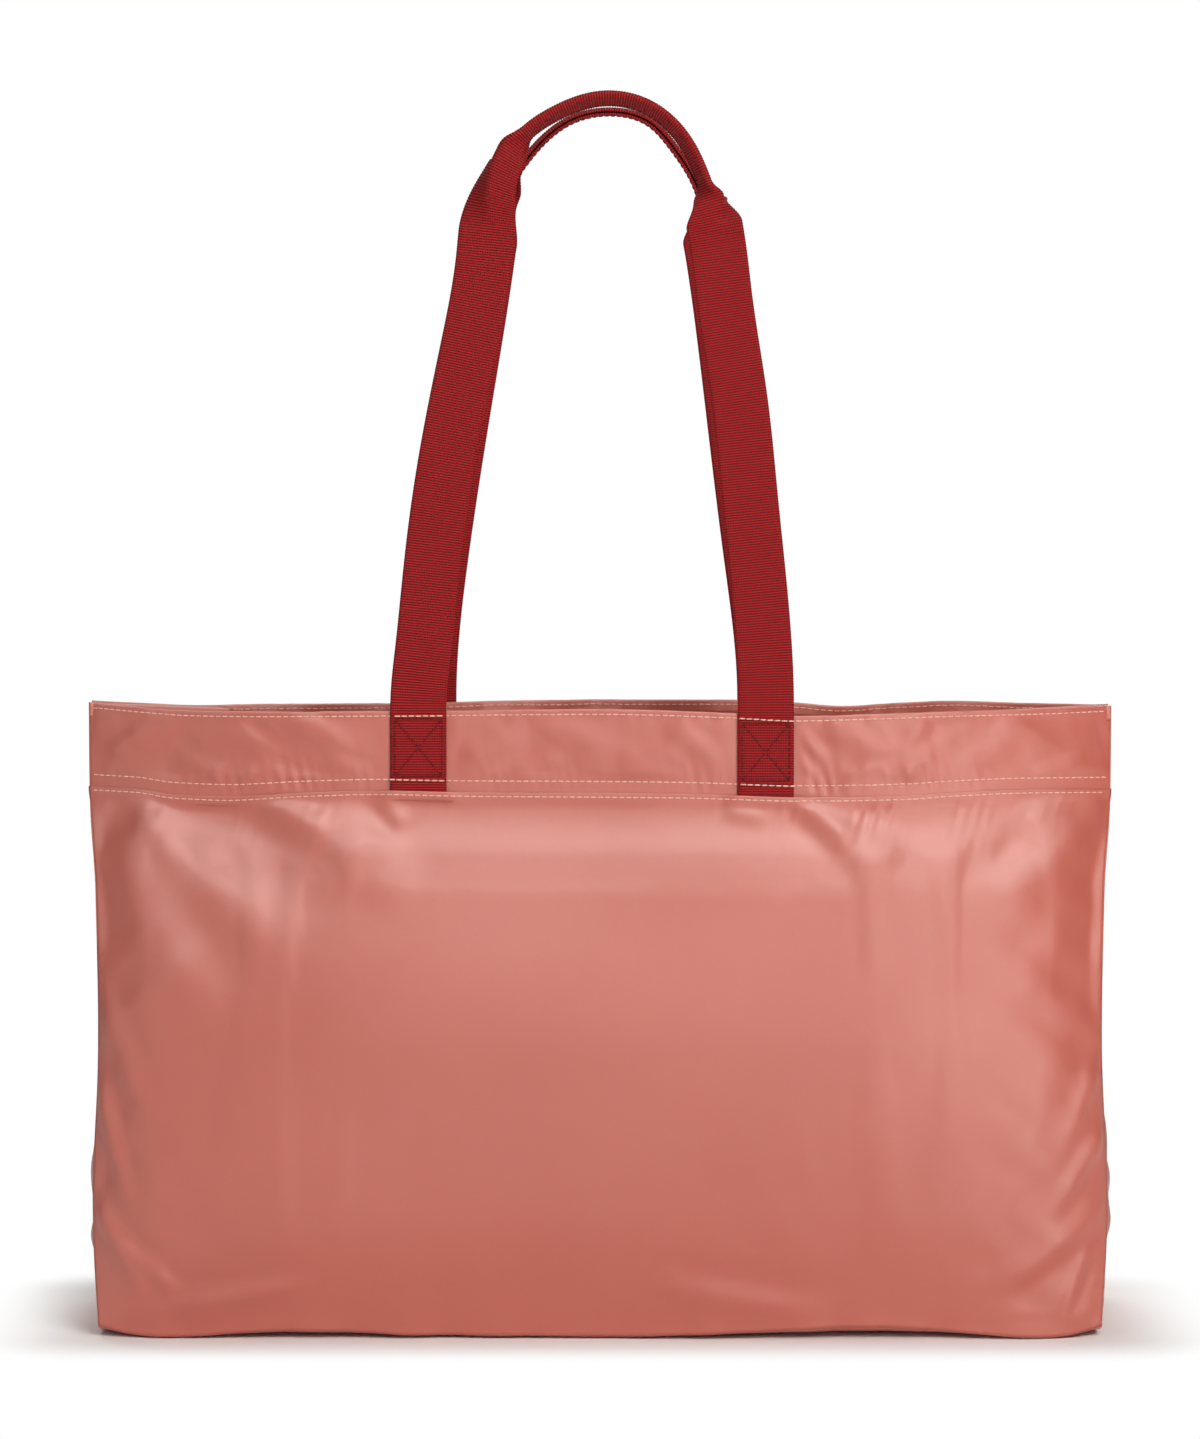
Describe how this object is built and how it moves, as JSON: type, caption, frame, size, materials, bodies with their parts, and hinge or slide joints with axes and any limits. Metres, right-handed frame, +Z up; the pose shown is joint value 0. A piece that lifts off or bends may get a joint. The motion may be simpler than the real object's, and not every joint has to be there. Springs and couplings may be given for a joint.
{
  "type": "foldable tote bag",
  "caption": "Thin nylon tote bag with a wide gusseted body, a stitched top band, two webbing carry handles with folded grips and an inner zip pocket.",
  "frame": {"origin": "centre of the base's underside, on the bag's two vertical mid-planes", "axes": "+X along the bag's width to the right as seen from the front, +Y from the front towards the rear, +Z up"},
  "size_m": [0.4746, 0.156, 0.5628],
  "materials": {
    "nylon_shell": "satin woven nylon, salmon pink",
    "lining": "matt woven nylon, salmon pink",
    "webbing": "ribbed grosgrain webbing, dark red",
    "pale_thread": "polyester sewing thread, pale salmon",
    "red_thread": "polyester sewing thread, dark red",
    "zip_tape": "herringbone zip tape",
    "zip_plastic": "moulded coil",
    "zip_metal": "satin cast metal",
    "label": "blank woven label"
  },
  "bodies": {
    "root": {"base_panel": "nylon_shell", "left_gusset": "nylon_shell", "right_gusset": "nylon_shell", "left_gusset_band": "nylon_shell", "right_gusset_band": "nylon_shell"},
    "front_side": {"front_panel": "nylon_shell", "front_band": "nylon_shell", "front_facing": "lining", "front_topstitching": "pale_thread", "front_band_stitching": "pale_thread", "front_seam_stitching": "pale_thread", "front_handle_end_left": "webbing", "front_handle_end_right": "webbing", "front_box_stitches": "red_thread", "care_label": "label"},
    "rear_side": {"rear_panel": "nylon_shell", "rear_band": "nylon_shell", "rear_facing": "lining", "rear_topstitching": "pale_thread", "rear_band_stitching": "pale_thread", "rear_seam_stitching": "pale_thread", "rear_handle_end_left": "webbing", "rear_handle_end_right": "webbing", "rear_box_stitches": "red_thread", "pocket_back": "lining", "pocket_front_upper": "lining", "pocket_front_lower": "lining", "pocket_binding": "lining", "zip_tape_upper": "zip_tape", "zip_tape_lower": "zip_tape", "zip_coil": "zip_plastic", "zip_stops": "zip_metal"},
    "front_handle": {"front_handle_loop": "webbing", "front_grip_stitching": "red_thread"},
    "rear_handle": {"rear_handle_loop": "webbing", "rear_grip_stitching": "red_thread"},
    "zip_slider": {"zip_slider": "zip_metal"},
    "zip_pull": {"zip_pull": "zip_metal"}
  },
  "joints": [
    {"name": "press_flat", "type": "slide", "parent": "root", "child": "front_side", "axis": [0, 1, 0], "range_m": [0, 0.0378], "deforming": ["base_panel", "left_gusset", "right_gusset", "left_gusset_band", "right_gusset_band", "front_panel", "front_band", "front_facing", "front_topstitching", "front_band_stitching", "front_seam_stitching"]},
    {"name": "press_flat_rear", "type": "slide", "parent": "root", "child": "rear_side", "axis": [0, -1, 0], "range_m": [0, 0.0378], "deforming": ["rear_panel", "rear_band", "rear_facing", "rear_topstitching", "rear_band_stitching", "rear_seam_stitching"]},
    {"name": "front_handle_swing", "type": "hinge", "parent": "front_side", "child": "front_handle", "pos_m": [0, -0.04675, 0.2842], "axis": [1, 0, 0], "range_deg": [-7, 165]},
    {"name": "rear_handle_swing", "type": "hinge", "parent": "rear_side", "child": "rear_handle", "pos_m": [0, 0.04675, 0.2842], "axis": [-1, 0, 0], "range_deg": [-7, 165]},
    {"name": "zip_slider_travel", "type": "slide", "parent": "rear_side", "child": "zip_slider", "axis": [1, 0, 0], "range_m": [0, 0.16]},
    {"name": "zip_pull_flip", "type": "hinge", "parent": "zip_slider", "child": "zip_pull", "pos_m": [-0.08, 0.0365, 0.232], "axis": [0, 0, 1], "range_deg": [-175, 0]}
  ],
  "couplings": [
    {"joint": "press_flat_rear", "follows": "press_flat", "ratio": 1}
  ]
}
